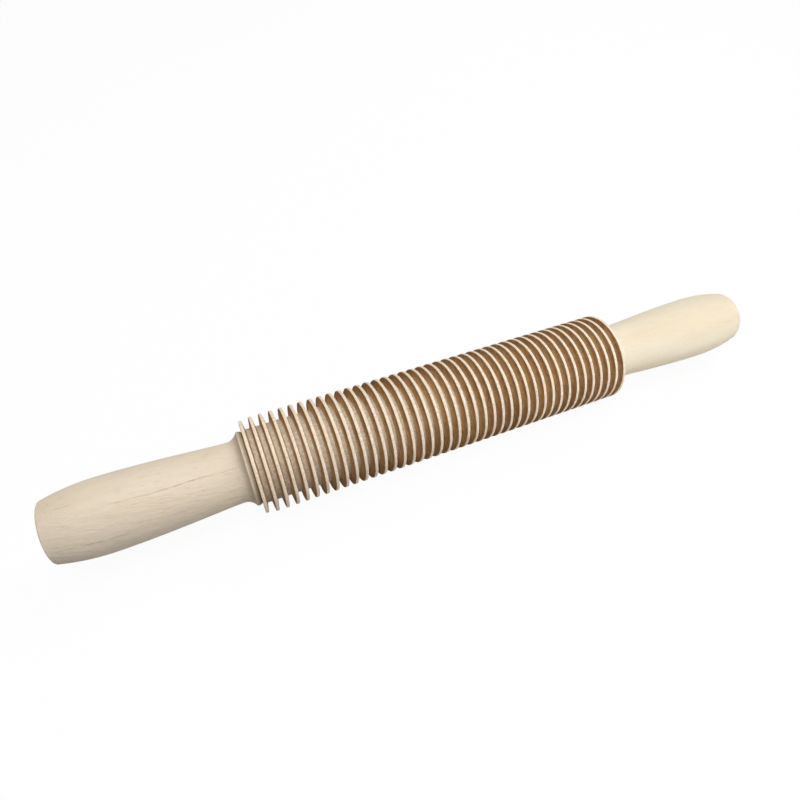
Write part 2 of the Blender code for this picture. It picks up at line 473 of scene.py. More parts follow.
    def _varied(self, colour: Socket, value: Socket, strength: Feed) -> Socket:
        """Darken a colour where a value is low and lighten it where it is high.

        Args:
            colour: The colour to change.
            value: A number about 0.5 on average.
            strength: The difference between the darkest and the lightest.

        Returns:
            The changed colour.
        """
        half = self.product(strength, 0.5)
        ends = (self.math("SUBTRACT", 1.0, half), self.math("ADD", 1.0, half))
        return self.toned(colour, self.smooth_step(value, *self.TONE_RANGE, *ends))

    def _ground(self) -> Socket:
        """The wood's ground colour, with broad changes and faint rings.

        Returns:
            The colour.
        """
        broad = self.smooth_step(self.seen(self.BROAD, self.finish.seed), *self.BROAD_RANGE)
        colour = self.mixed(broad, self.finish.pale, self.finish.warm)
        level = self.math("MULTIPLY_ADD", self._rings(), -self.finish.ring_strength, 1.0)
        return self.toned(colour, level)

    def _rings(self) -> Socket:
        """Growth rings around a heart that lies well outside the pin.

        Returns:
            A number that rises from 0 to 1 over each ring.
        """
        seed = self.finish.seed
        across = self.math("SUBTRACT", self.y, self.RING_HEART[0] + self.RING_HEART_STEP * seed)
        up = self.math("SUBTRACT", self.z, self.RING_HEART[1])
        reach = self.hypotenuse(across, up)
        reach = self.math("MULTIPLY_ADD", self.seen(self.RING_SWAY, seed), self.RING_SWAY_REACH, reach)
        turn = self.math("FRACT", self.math("DIVIDE", reach, self.RING_SPACING))
        return self.math("POWER", turn, self.RING_SHARPNESS)

    def _waves(self) -> Socket:
        """Broader wavy streaks that lie a little across the axis.

        Returns:
            A number about 0.5 on average.
        """
        sway = self.seen(self.WAVE_SWAY, self.finish.seed)
        lean = self.math("MULTIPLY_ADD", sway, self.WAVE_SWAY_REACH, self.product(self.x, self.WAVE_LEAN))
        feeds = {0: self.place, 1: self.joined(0.0, lean, lean)}
        leaning = self.node("ShaderNodeVectorMath", feeds, operation="ADD").outputs[0]
        return self.seen(self.WAVES, self.finish.seed, leaning)

    def _flecks(self) -> Socket:
        """Short dashes along X.

        Returns:
            A number from 0 to 1.
        """
        cells = self._cells(self.FLECK_STRETCH)
        pick, depth, _ = self.split(cells["Color"])
        ends = (self.finish.fleck_share * self.FLECK_FEWEST, self.finish.fleck_share * self.FLECK_MOST)
        spread = self.seen(self.FLECK_SPREAD, self.finish.seed)
        chosen = self.math("LESS_THAN", pick, self.smooth_step(spread, *self.FLECK_SPREAD_RANGE, *ends))
        shape = self.smooth_step(cells["Distance"], *self.FLECK_EDGE)
        strength = self.math("MULTIPLY_ADD", depth, 1.0 - self.FLECK_FAINTEST, self.FLECK_FAINTEST)
        return self.product(chosen, shape, strength)

    def _line(self, line: GrainLine) -> Socket:
        """How strongly one grain line shows.

        Args:
            line: Where the line runs.

        Returns:
            The line's share of the colour.
        """
        slope = math.radians(line.to_angle - line.from_angle) / (line.to_x - line.from_x)
        along = self.math("SUBTRACT", self.x, line.from_x)
        middle = self.math("MULTIPLY_ADD", along, slope, math.radians(line.from_angle))
        sway = self.math("SUBTRACT", self.seen(self.LINE_SWAY, line.from_angle), 0.5)
        middle = self.math("MULTIPLY_ADD", sway, math.radians(self.LINE_SWAY_DEGREES), middle)
        off = self.math("ABSOLUTE", self.math("SUBTRACT", self.math("ARCTAN2", self.z, self.y), middle))
        across = self.product(off, self.LINE_RADIUS)
        body = self.smooth_step(across, line.width, line.width * self.LINE_CORE)
        low, high = sorted((line.from_x, line.to_x))
        ease = (high - low) * self.LINE_RUN_OUT
        start = self.smooth_step(self.x, low, low + ease)
        end = self.smooth_step(self.x, high, high - ease)
        broken = self.seen(self.LINE_BREAKS, line.from_angle)
        broken = self.smooth_step(broken, *self.LINE_BREAK_RANGE, self.LINE_BROKEN, 1.0)
        return self.product(start, end, body, broken, line.strength)

    def _dull(self, colour: Socket, grain: Socket, height: Socket, roughness: float,
              ior: float) -> bpy.types.Material:
        """End the material with a dull shader, rougher where the grain's number is low.

        Args:
            colour: The surface's colour.
            grain: A number from 0 to 1.
            height: The relief in metres.
            roughness: The roughness on average.
            ior: How glossy it is, as an index of refraction.

        Returns:
            The material.
        """
        rough = self.smooth_step(grain, 0.0, 1.0, roughness + self.ROUGHER, roughness - self.SMOOTHER)
        return self.finished(colour, rough, height, (1.0, 1.0), {"IOR": ior})


@dataclass(frozen=True)
class MetalFinish:
    """Machined or plated steel, with tool marks and a little mottling."""

    name: str
    colour: Colour
    roughness: float
    streaks: Pair
    mottle: float
    seed: float = 1.0
    smoother: float = 0.08
    rougher: float = 0.1
    bump: Pair = (0.3, 0.00003)

    def material(self) -> bpy.types.Material:
        """Make the metal.

        Returns:
            The material.
        """
        surface = Surface(self.name)
        marks = surface.seen(Pattern(stretch=self.streaks, detail=3.0, roughness=0.6), self.seed)
        clouds = surface.seen(Pattern(scale=350.0, detail=3.0, roughness=0.55, shift=5.0), self.seed)
        level = surface.smooth_step(clouds, *surface.CLOUD_RANGE, 1.0 - self.mottle, 1.0)
        ends = (self.roughness - self.smoother, self.roughness + self.rougher)
        rough = surface.smooth_step(marks, *surface.WEAR_RANGE, *ends)
        return surface.finished(surface.toned(self.colour, level), rough, marks, self.bump, {"Metallic": 1.0})


@dataclass(frozen=True)
class NylonFinish:
    """Natural moulded nylon, off-white with faint clouds."""

    name: str
    colour: Colour
    tint: Colour
    roughness: Pair = (0.37, 0.50)
    bump: Pair = (0.2, 0.00002)
    glow: float = 0.1
    glow_depth: float = 0.001

    def material(self) -> bpy.types.Material:
        """Make the nylon.

        Returns:
            The material.
        """
        surface = Surface(self.name)
        clouds = surface.seen(Pattern(scale=160.0, detail=3.0), 2.0)
        grain = surface.seen(Pattern(scale=2600.0), 4.0)
        colour = surface.mixed(surface.smooth_step(clouds, *surface.CLOUD_RANGE), self.colour, self.tint)
        rough = surface.smooth_step(grain, *surface.WEAR_RANGE, *self.roughness)
        constants = {"Subsurface Weight": self.glow, "Subsurface Scale": self.glow_depth}
        return surface.finished(colour, rough, grain, self.bump, constants)


@dataclass(frozen=True)
class Thread:
    """A screw thread on part of a turned piece."""

    depth: float = 0.0
    pitch: float = 0.001
    from_x: float = 1.0


@dataclass(frozen=True)
class Wobble:
    """How unevenly the wood's outermost edges are cut."""

    reach: float = 0.0
    from_radius: float = 1.0
    fineness: float = 300.0
    seed: float = 1.0


FLOAT = "NodeSocketFloat"
GEOMETRY = "NodeSocketGeometry"

TURNING = {
    "Outline": GEOMETRY,
    "Sides": "NodeSocketInt",
    "Across Flats": FLOAT,
    "Thread Depth": FLOAT,
    "Thread Pitch": FLOAT,
    "Thread From": FLOAT,
    "Wobble": FLOAT,
    "Wobble From": FLOAT,
    "Wobble Fineness": FLOAT,
    "Seed": FLOAT,
}
REPEATING = {
    "Discs": "NodeSocketInt",
    "Disc Pitch": FLOAT,
    "Rim Width": FLOAT,
    "Core Radius": FLOAT,
    "First Disc Height": FLOAT,
}
FINISHING = {
    "Edge Angle": FLOAT,
    "Side Finish": "NodeSocketMaterial",
    "End Finish": "NodeSocketMaterial",
}


class NodeTree(Wiring):
    """A Geometry Nodes tree with named inputs."""

    def __init__(self, name: str, inputs: dict[str, str]) -> None:
        """Make the tree.

        Args:
            name: The tree's name.
            inputs: Each input's name with its socket type.
        """
        tree = bpy.data.node_groups.new(name, "GeometryNodeTree")
        super().__init__(tree)
        self.identifiers: dict[str, str] = {}
        for title, kind in inputs.items():
            item = tree.interface.new_socket(title, in_out="INPUT", socket_type=kind)
            self.identifiers[title] = item.identifier
        tree.interface.new_socket("Geometry", in_out="OUTPUT", socket_type=GEOMETRY)
        self.given = self.node("NodeGroupInput").outputs

    def give(self, geometry: Socket) -> None:
        """Send a geometry to the tree's output."""
        self.node("NodeGroupOutput", {0: geometry})

    def used_in(self, other: "NodeTree", names: Iterable[str], **feeds: Feed) -> Socket:
        """Add this tree as a node in another tree.

        Args:
            other: The other tree.
            names: Inputs that the other tree hands on under the same names.
            feeds: What goes into the remaining inputs.

        Returns:
            The resulting geometry.
        """
        handed = {title: other.given[title] for title in names}
        return other.node("GeometryNodeGroup", {**handed, **feeds}, node_tree=self.tree).outputs[0]

    def placed(self, geometry: Socket, spot: Socket, selection: Feed = True) -> Socket:
        """Move a geometry's points and give it back."""
        feeds = {"Geometry": geometry, "Selection": selection, "Position": spot}
        return self.node("GeometryNodeSetPosition", feeds).outputs[0]

    def position(self) -> Socket:
        """Where each point is."""
        return self.node("GeometryNodeInputPosition").outputs[0]


class TurningTree(NodeTree):
    """Turns an outline, which runs towards +X along an outside, into an open surface."""

    FLATS = 6
    SECOND_SEED = 17.0
    INWARD_SHARE = 0.8

    def __init__(self) -> None:
        """Build the tree."""
        super().__init__("turned_surface", TURNING)
        outline, sides = self.given["Outline"], self.given["Sides"]
        size = self.node("GeometryNodeAttributeDomainSize", {0: outline}, component="MESH").outputs
        columns = self.math("ADD", sides, 1.0)
        feeds = {"Vertices X": size["Point Count"], "Vertices Y": columns}
        grid = self.node("GeometryNodeMeshGrid", feeds).outputs["Mesh"]
        index = self.node("GeometryNodeInputIndex").outputs[0]
        row = self.math("FLOOR", self.math("DIVIDE", self.math("ADD", index, 0.5), columns))
        column = self.math("SUBTRACT", index, self.product(row, columns))
        turn = self.math("DIVIDE", column, sides)
        self.angle = self.product(turn, math.tau)
        feeds = {"Geometry": outline, "Index": row, "Value": self.position()}
        knot = self.node("GeometryNodeSampleIndex", feeds, data_type="FLOAT_VECTOR", domain="POINT")
        x, radius, _ = self.split(knot.outputs[0])
        radius = self._flattened(self._threaded(x, radius, turn))
        x, radius = self._wobbled(x, radius)
        self.give(self.placed(grid, self._around(x, radius, -1.0)))

    def _around(self, x: Socket, radius: Socket, way: float) -> Socket:
        """A place at a radius, turned from +Y towards +Z for way 1 and towards -Z for way -1."""
        up = self.product(way, self.math("SINE", self.angle))
        return self.joined(x, self.product(radius, self.math("COSINE", self.angle)), self.product(radius, up))

    def _threaded(self, x: Socket, radius: Socket, turn: Socket) -> Socket:
        """Cut a thread's V into a radius where the piece is threaded.

        Args:
            x: Place along the axis.
            radius: The radius without a thread.
            turn: Share of a full turn.

        Returns:
            The radius with the thread, which stays 0 at a pole.
        """
        start, pitch = self.given["Thread From"], self.given["Thread Pitch"]
        phase = self.math("SUBTRACT", self.math("DIVIDE", x, pitch), turn)
        rise = self.math("MULTIPLY_ADD", self.math("FRACT", phase), 2.0, -1.0)
        valley = self.math("SUBTRACT", 1.0, self.math("ABSOLUTE", rise))
        cut = self.smooth_step(self.math("ABSOLUTE", x), start, self.math("ADD", start, pitch))
        depth = self.product(valley, cut, self.given["Thread Depth"])
        return self.math("MAXIMUM", self.math("SUBTRACT", radius, depth), 0.0)

    def _flattened(self, radius: Socket) -> Socket:
        """Cut a nut's flats where a radius reaches past them.

        Args:
            radius: The round radius.

        Returns:
            The radius with the flats.
        """
        part = math.tau / self.FLATS
        within = self.math("MODULO", self.math("ADD", self.angle, part / 2), part)
        off = self.math("SUBTRACT", within, part / 2)
        flat = self.math("DIVIDE", self.product(self.given["Across Flats"], 0.5), self.math("COSINE", off))
        return self.math("MINIMUM", radius, flat)

    def _wobbled(self, x: Socket, radius: Socket) -> tuple[Socket, Socket]:
        """Move the outermost edges a little, never outwards.

        Args:
            x: Place along the axis.
            radius: The radius.

        Returns:
            The moved place along the axis and the moved radius.
        """
        seed = self.given["Seed"]
        spot = self._around(x, radius, 1.0)
        pattern = Pattern(scale=self.given["Wobble Fineness"])
        sideways = self.noise(spot, pattern, seed)
        inwards = self.noise(spot, pattern, self.math("ADD", seed, self.SECOND_SEED))
        edge = self.math("GREATER_THAN", radius, self.given["Wobble From"])
        reach = self.product(edge, self.given["Wobble"])
        shift = self.product(self.math("MULTIPLY_ADD", sideways, 2.0, -1.0), reach)
        sink = self.product(inwards, self.INWARD_SHARE, reach)
        return (self.math("ADD", x, shift), self.math("SUBTRACT", radius, sink))


class ClosingTree(NodeTree):
    """Closes seams and poles, and sets edges and finishes."""

    MERGE_REACH = 2e-6
    END_FACING = 0.96

    def __init__(self) -> None:
        """Build the tree."""
        super().__init__("closed_piece", {"Surface": GEOMETRY, **FINISHING})
        given = self.given
        feeds = {"Geometry": given["Surface"], "Distance": self.MERGE_REACH}
        merged = self.node("GeometryNodeMergeByDistance", feeds).outputs[0]
        bend = self.node("GeometryNodeInputMeshEdgeAngle").outputs[0]
        crisp = self.math("GREATER_THAN", bend, given["Edge Angle"])
        feeds = {"Geometry": merged, "Shade Smooth": True}
        smooth = self.node("GeometryNodeSetShadeSmooth", feeds, domain="FACE").outputs[0]
        feeds = {"Geometry": smooth, "Selection": crisp, "Shade Smooth": False}
        edged = self.node("GeometryNodeSetShadeSmooth", feeds, domain="EDGE").outputs[0]
        real = self.node("GeometryNodeRealizeInstances", {0: edged}).outputs[0]
        feeds = {"Geometry": real, "Material": given["Side Finish"]}
        dressed = self.node("GeometryNodeSetMaterial", feeds).outputs[0]
        facing = self.split(self.node("GeometryNodeInputNormal").outputs[0])[0]
        cut_end = self.math("GREATER_THAN", self.math("ABSOLUTE", facing), self.END_FACING)
        feeds = {"Geometry": dressed, "Selection": cut_end, "Material": given["End Finish"]}
        self.give(self.node("GeometryNodeSetMaterial", feeds).outputs[0])


class PlainTree(NodeTree):
    """Turns a piece with one closed outline."""

    def __init__(self, turning: TurningTree, closing: ClosingTree) -> None:
        """Build the tree around the two that it uses."""
        super().__init__("turned_piece", {**TURNING, **FINISHING})
        self.give(closing.used_in(self, FINISHING, Surface=turning.used_in(self, TURNING)))


class RibbedTree(NodeTree):
    """Turns the roller: one disc's outline repeated, and the bore where the outline says bore."""

    def __init__(self, turning: TurningTree, closing: ClosingTree) -> None:
        """Build the tree.

        Args:
            turning: The tree that turns an outline.
            closing: The tree that closes and dresses a surface.
        """
        super().__init__("ribbed_roller", {**TURNING, **REPEATING, **FINISHING})
        given, pitch = self.given, self.given["Disc Pitch"]
        flag = self.node("GeometryNodeInputNamedAttribute", {"Name": "bore"}, data_type="BOOLEAN").outputs[0]
        feeds = {"Geometry": given["Outline"], "Selection": flag}
        parted = self.node("GeometryNodeSeparateGeometry", feeds, domain="POINT").outputs
        start = self.product(self.math("SUBTRACT", given["Discs"], 1.0), pitch, -0.5)
        feeds = {"Count": given["Discs"], "Start Location": self.joined(start, 0.0, 0.0),
                 "Offset": self.joined(pitch, 0.0, 0.0)}
        middles = self.node("GeometryNodeMeshLine", feeds, mode="OFFSET").outputs[0]
        feeds = {"Points": middles, "Instance": parted["Inverted"]}
        discs = self.node("GeometryNodeInstanceOnPoints", feeds).outputs[0]
        discs = self.node("GeometryNodeRealizeInstances", {0: discs}).outputs[0]
        names = [title for title in TURNING if title != "Outline"]
        outside = turning.used_in(self, names, Outline=self._trimmed(discs, start))
        inside = turning.used_in(self, names, Outline=parted["Selection"])
        both = self.node("GeometryNodeJoinGeometry")
        self.tree.links.new(inside, both.inputs[0])
        self.tree.links.new(outside, both.inputs[0])
        self.give(closing.used_in(self, FINISHING, Surface=both.outputs[0]))

    def _trimmed(self, discs: Socket, start: Socket) -> Socket:
        """Lower the first disc, and make the roller's outermost sides upright.

        Args:
            discs: The outline of all discs.
            start: Where the first disc's middle is.

        Returns:
            The changed outline.
        """
        core, pitch = self.given["Core Radius"], self.given["Disc Pitch"]
        x, radius, _ = self.split(self.position())
        height = self.product(self.math("SUBTRACT", radius, core), self.given["First Disc Height"])
        first = self.math("LESS_THAN", x, self.math("MULTIPLY_ADD", pitch, 0.5, start))
        discs = self.placed(discs, self.joined(x, self.math("ADD", core, height), 0.0), first)
        low = self.math("MULTIPLY_ADD", self.given["Rim Width"], -0.5, start)
        kept = self.math("MINIMUM", self.math("MAXIMUM", x, low), self.product(low, -1.0))
        return self.placed(discs, self.joined(kept, radius, 0.0))


class Lathe:
    """The Geometry Nodes trees that turn outlines about X."""

    def __init__(self) -> None:
        """Build the two shared trees, and then the two that modifiers use."""
        turning, closing = TurningTree(), ClosingTree()
        self.plain = PlainTree(turning, closing)
        self.ribbed = RibbedTree(turning, closing)


@dataclass
class Turned:
    """One piece turned about the pin's axis."""

    name: str
    outline: list[Point]
    body: Body
    stands_for: str
    slot: str
    sides: int = 96
    across_flats: float = 1.0
    thread: Thread = Thread()
    wobble: Wobble = Wobble()
    edge_degrees: float = 35.0
    bore: list[Point] = field(default_factory=list)
    repeats: dict[str, Union[int, float]] = field(default_factory=dict)

    def make(self, lathe: Lathe, side: bpy.types.Material, end: bpy.types.Material) -> None:
        """Turn the piece, dress it and let it ride on its body, as a plain mesh at the origin.

        Args:
            lathe: The trees that turn outlines.
            side: The finish of the turned sides.
            end: The finish of faces across the axis.
        """
        tree = lathe.ribbed if self.bore else lathe.plain
        piece = self._outline_object()
        modifier = piece.modifiers.new("turning", "NODES")
        modifier.node_group = tree.tree
        values = {
            "Sides": self.sides,
            "Across Flats": self.across_flats,
            "Thread Depth": self.thread.depth,
            "Thread Pitch": self.thread.pitch,
            "Thread From": self.thread.from_x,
            "Wobble": self.wobble.reach,
            "Wobble From": self.wobble.from_radius,
            "Wobble Fineness": self.wobble.fineness,
            "Seed": self.wobble.seed,
            "Edge Angle": math.radians(self.edge_degrees),
            "Side Finish": side,
            "End Finish": end,
            **self.repeats,
        }
        for title, value in values.items():
            modifier[tree.identifiers[title]] = value
        depsgraph = bpy.context.evaluated_depsgraph_get()
        mesh = bpy.data.meshes.new_from_object(piece.evaluated_get(depsgraph))
        mesh.name = self.name
        piece.modifiers.remove(modifier)
        piece.data = mesh
        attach(piece, self.body.value)
        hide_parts(self.stands_for)
        triangles = sum(len(face.vertices) - 2 for face in mesh.polygons)
        log.info("%s: %d triangles, rides on %s", self.name, triangles, self.body.value)

    def _outline_object(self) -> bpy.types.Object:
        """Draw the outline, and the bore's where there is one.

        Returns:
            An object whose mesh is points and edges.
        """
        points = self.outline + self.bore
        first = len(self.outline)
        mesh = bpy.data.meshes.new(self.name + "_outline")
        edges = [(at, at + 1) for at in range(len(points) - 1) if at + 1 != first]
        mesh.from_pydata([(x, radius, 0.0) for x, radius in points], edges, [])
        flag = mesh.attributes.new("bore", "BOOLEAN", "POINT")
        flag.data.foreach_set("value", [at >= first for at in range(len(points))])
        piece = bpy.data.objects.new(self.name, mesh)
        bpy.context.scene.collection.objects.link(piece)
        return piece


def eased(corners: list[Point], ease: float, closed: bool = True) -> list[Point]:
    """Round the corners of an outline.

    Args:
        corners: The outline's corners in order.
        ease: How far from each corner its rounding starts.
        closed: Whether the last corner joins the first again.

    Returns:
        The outline's points, with the first one again at the end if it is closed.
    """
    steps, most = 3, 0.45
    points: list[Point] = []
    for at, corner in enumerate(corners):
        if not closed and at in (0, len(corners) - 1):
            points.append(corner)
            continue
        here = Vector(corner)
        before = Vector(corners[at - 1]) - here
        after = Vector(corners[(at + 1) % len(corners)]) - here
        start = here + before.normalized() * min(ease, before.length * most)
        end = here + after.normalized() * min(ease, after.length * most)
        for step in range(steps + 1):
            share = step / steps
            spot = start.lerp(here, share).lerp(here.lerp(end, share), share)
            points.append((spot.x, spot.y))
    return points + points[:1] if closed else points


def on_side(outline: list[Point], side: Side) -> list[Point]:
    """Mirror an outline of the right-hand end for the left-hand one.

    Args:
        outline: The outline at the right-hand end.
        side: The end that is wanted.

    Returns:
        The outline, still running towards +X along its outside.
    """
    return outline if side is Side.RIGHT else [(-x, radius) for x, radius in reversed(outline)]


def bezier(knots: list[Point], count: int) -> list[Point]:
    """Points along a Bezier curve, without its first one.

    Args:
        knots: The curve's start, its two control points and its end.
        count: How many points it gives.

    Returns:
        The points.
    """
    curve = interpolate_bezier(*[Vector((*knot, 0.0)) for knot in knots], count + 1)
    return [(spot.x, spot.y) for spot in curve[1:]]


@dataclass(frozen=True)
class Clearances:
    """Gaps between neighbouring pieces."""

    fit: float = 0.0003
    seam: float = 0.0004
    shown_seam: float = 0.00008


@dataclass
class Roller:
    """The revolving beech roller with its cutting discs and its two bushes."""

    lathe: Lathe
    gaps: Clearances
    sides: int = 160
    disc_count: int = 41
    pitch: float = 0.0042
    rim_width: float = 0.0012
    rim_ease: float = 0.00018
    wobble_reach: float = 0.0001
    wobble_height: float = 0.0012
    wobble_fineness: float = 280.0
    wobble_seed: float = 5.0
    core_radius: float = 0.0156
    cutting_radius: float = 0.0201
    foot_ease: float = 0.00018
    foot_spread: float = 0.00062
    first_disc_height: float = 0.87
    rod_room: float = 0.0048
    bush_sides: int = 72
    bush_bore: float = 0.0043
    bush_radius: float = 0.0065
    bush_length: float = 0.0130
    bush_ease: float = 0.00025
    flange_radius: float = 0.0095
    flange_thickness: float = 0.0020

    @property
    def half(self) -> float:
        """Half of the roller's length."""
        return ((self.disc_count - 1) * self.pitch + self.rim_width) / 2

    def build(self, wood: BeechFinish, nylon: NylonFinish) -> None:
        """Build and dress the roller and its bushes.

        Args:
            wood: The roller's beech.
            nylon: The bushes' nylon.
        """
        wobble = Wobble(self.wobble_reach, self.cutting_radius - self.wobble_height, self.wobble_fineness,
                        self.wobble_seed)
        repeats = {
            "Discs": self.disc_count,
            "Disc Pitch": self.pitch,
            "Rim Width": self.rim_width,
            "Core Radius": self.core_radius,
            "First Disc Height": self.first_disc_height,
        }
        roller = Turned("grooved_roller", self._disc_outline(), Body.ROLLER, "cutting_roller", "roller_beech",
                        sides=self.sides, wobble=wobble, bore=self._bore_outline(), repeats=repeats)
        roller.make(self.lathe, wood.long_grain(), wood.end_grain())
        finish = nylon.material()
        for side in Side:
            bush = Turned(side.word + "_flanged_bush", on_side(self._bush_outline(), side), Body.ROLLER,
                          side.word + "_bush", "bush_nylon", sides=self.bush_sides)
            bush.make(self.lathe, finish, finish)

    def _disc_outline(self) -> list[Point]:
        """Draw one disc about its middle.

        Returns:
            The outline from one foot to the other.
        """
        edge = self.rim_width / 2
        foot = edge + self.foot_spread
        toe = foot + self.foot_ease
        ankle = self.core_radius + self.foot_ease
        corners = [(-foot, ankle), (-edge, self.cutting_radius), (edge, self.cutting_radius), (foot, ankle)]
        rim = eased(corners, self.rim_ease, closed=False)
        return [(-toe, self.core_radius), *rim, (toe, self.core_radius)]

    def _bore_outline(self) -> list[Point]:
        """Draw the bore with its bush seats and a little of both end faces.

        Returns:
            The outline, towards -X.
        """
        flange_seat = self.half - self.flange_thickness - self.gaps.fit
        bush_seat = flange_seat - self.bush_length
        mouth = self.flange_radius + self.gaps.fit
        body = self.bush_radius + self.gaps.fit
        right_half = [
            (self.half, self.core_radius),
            (self.half, mouth),
            (flange_seat, mouth),
            (flange_seat, body),
            (bush_seat, body),
            (bush_seat, self.rod_room),
        ]
        return right_half + on_side(right_half, Side.LEFT)

    def _bush_outline(self) -> list[Point]:
        """Draw the right-hand bush.

        Returns:
            The closed outline.
        """
        flange_back = self.half - self.flange_thickness
        inner = flange_back - self.bush_length
        corners = [
            (inner, self.bush_bore),
            (inner, self.bush_radius),
            (flange_back, self.bush_radius),
            (flange_back, self.flange_radius),
            (self.half, self.flange_radius),
            (self.half, self.bush_bore),
        ]
        return eased(corners, self.bush_ease)


@dataclass
class Handles:
    """The two beech handles with their end plugs."""

    lathe: Lathe
    gaps: Clearances
    roller_half: float
    sides: int = 192
    land_width: float = 0.0018
    land_radius: float = 0.0156
    land_round: Point = (0.0016, 0.0009)
    flare_length: float = 0.0046
    flare_lead: Point = (0.00113, -0.00197)
    flare_toe: float = 0.00267
    neck_radius: float = 0.01265
    neck_to_belly: float = 0.0497
    neck_ease: float = 0.0062
    belly_radius: float = 0.0149
    belly_ease: float = 0.0205
    belly_to_end: float = 0.0201
    end_radius: float = 0.0125
    end_round: float = 0.0006
    thread_hole: float = 0.0033
    washer_seat_radius: float = 0.0098
    washer_seat: float = 0.0867
    nut_seat: float = 0.1372
    counterbore: float = 0.0073
    plug_length: float = 0.0120
    plug_radius: float = 0.0070
    plug_ease: float = 0.0003
    land_steps: int = 6
    flare_steps: int = 16
    belly_steps: int = 28
    taper_steps: int = 14
    end_steps: int = 4

    @property
    def land_end(self) -> float:
        """Where the right-hand handle's land ends and its flare starts."""
        return self.roller_half + self.gaps.seam + self.land_width

    @property
    def end(self) -> float:
        """Where the right-hand handle ends."""
        return self.land_end + self.flare_length + self.neck_to_belly + self.belly_to_end

    def build(self, finishes: dict[Side, BeechFinish], plug_wood: BeechFinish) -> None:
        """Build and dress both handles and both plugs.

        Args:
            finishes: Each handle's beech.
            plug_wood: The plugs' beech.
        """
        plug_side, plug_end = plug_wood.long_grain(), plug_wood.end_grain()
        for side in Side:
            wood = finishes[side]
            handle = Turned(side.word + "_grip", on_side(self._outline(), side), Body.HANDLES,
                            side.word + "_handle", "handle_beech", sides=self.sides)
            handle.make(self.lathe, wood.long_grain(), wood.end_grain())
            plug = Turned(side.word + "_plug", on_side(self._plug_outline(), side), Body.HANDLES,
                          side.word + "_end_plug", "plug_beech")
            plug.make(self.lathe, plug_side, plug_end)

    def _outline(self) -> list[Point]:
        """Draw the right-hand handle.

        Returns:
            The outline around its outside and back along its bore.
        """
        face = self.roller_half + self.gaps.shown_seam
        neck = self.land_end + self.flare_length
        belly = neck + self.neck_to_belly
        taper_end = self.end - self.end_round
        outside = [(face, self.washer_seat_radius)]
        for step in range(self.land_steps + 1):
            turn = math.pi / 2 * step / self.land_steps
            outside.append((face + self.land_round[0] * (1 - math.cos(turn)),
                            self.land_radius - self.land_round[1] * (1 - math.sin(turn))))
        flare_start = (self.land_end, self.land_radius)
        lead = (self.land_end + self.flare_lead[0], self.land_radius + self.flare_lead[1])
        toe = (self.land_end + self.flare_toe, self.neck_radius)
        slim = (neck, self.neck_radius)
        outside += [flare_start, *bezier([flare_start, lead, toe, slim], self.flare_steps)]
        outside += bezier([slim, (neck + self.neck_ease, self.neck_radius),
                           (belly - self.belly_ease, self.belly_radius), (belly, self.belly_radius)],
                          self.belly_steps)
        for step in range(1, self.taper_steps + 1):
            share = step / self.taper_steps
            radius = self.belly_radius - (self.belly_radius - self.end_radius) * share ** 2
            outside.append((belly + (taper_end - belly) * share, radius))
        for step in range(1, self.end_steps + 1):
            turn = math.pi / 2 * step / self.end_steps
            outside.append((taper_end + self.end_round * math.sin(turn),
                            self.end_radius - self.end_round * (1 - math.cos(turn))))
        bore = [
            (self.end, self.counterbore),
            (self.nut_seat, self.counterbore),
            (self.nut_seat, self.thread_hole),
            (self.washer_seat, self.thread_hole),
            (self.washer_seat, self.washer_seat_radius),
            (face, self.washer_seat_radius),
        ]
        return outside + bore

    def _plug_outline(self) -> list[Point]:
        """Draw the right-hand plug.

        Returns:
            The outline from pole to pole.
        """
        inner = self.end - self.plug_length
        corners = [(inner, 0.0), (inner, self.plug_radius), (self.end, self.plug_radius), (self.end, 0.0)]
        return eased(corners, self.plug_ease, closed=False)


